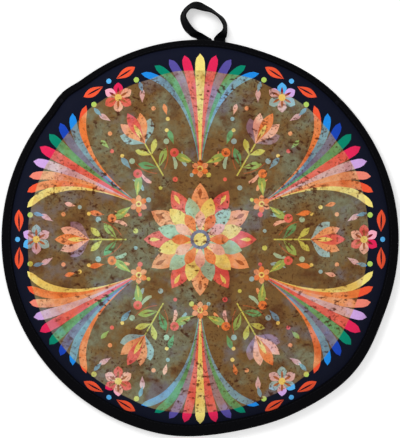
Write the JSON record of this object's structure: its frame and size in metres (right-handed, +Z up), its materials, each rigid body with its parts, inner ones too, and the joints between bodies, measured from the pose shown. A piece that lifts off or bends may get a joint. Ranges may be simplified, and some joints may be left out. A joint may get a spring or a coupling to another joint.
{
  "type": "tortilla warmer pouch",
  "caption": "Round quilted cloth pouch that keeps flatbread warm, with a padded front and back, bound edges, a mouth whose lip lifts, and a hanging loop of tape.",
  "frame": {"origin": "middle of the flat underside, on the surface that the pouch lies on", "axes": "+Z up through both padded discs, +Y towards the mouth and the hanging loop, +X to the right as seen from the printed front"},
  "size_m": [0.305, 0.3344, 0.0186],
  "materials": {
    "printed_cloth": "printed woven polyester, matt",
    "lining_cloth": "plain woven cotton, off-white",
    "wadding": "bonded polyester wadding",
    "binding_tape": "black woven binding tape",
    "thread": "black sewing thread"
  },
  "bodies": {
    "pouch": {"back_cover": "printed_cloth", "back_wadding": "wadding", "back_lining": "lining_cloth", "front_cover": "printed_cloth", "front_wadding": "wadding", "front_lining": "lining_cloth", "seam_binding": "binding_tape", "back_mouth_binding": "binding_tape", "loop_ends": "binding_tape", "seam_stitching": "thread", "back_mouth_stitching": "thread", "mouth_bar_tacks": "thread"},
    "front_lip": {"lip_cover": "printed_cloth", "lip_wadding": "wadding", "lip_lining": "lining_cloth", "front_mouth_binding": "binding_tape", "front_mouth_stitching": "thread"},
    "loop": {"hanging_loop": "binding_tape"}
  },
  "joints": [
    {"name": "mouth_opening", "type": "hinge", "parent": "pouch", "child": "front_lip", "pos_m": [0, 0.11153, 0.0189], "axis": [1, 0, 0], "range_deg": [0, 70]},
    {"name": "loop_swing", "type": "hinge", "parent": "pouch", "child": "loop", "pos_m": [0.0082, 0.15442, 0.002], "axis": [1, 0, 0], "range_deg": [-60, 60]}
  ]
}
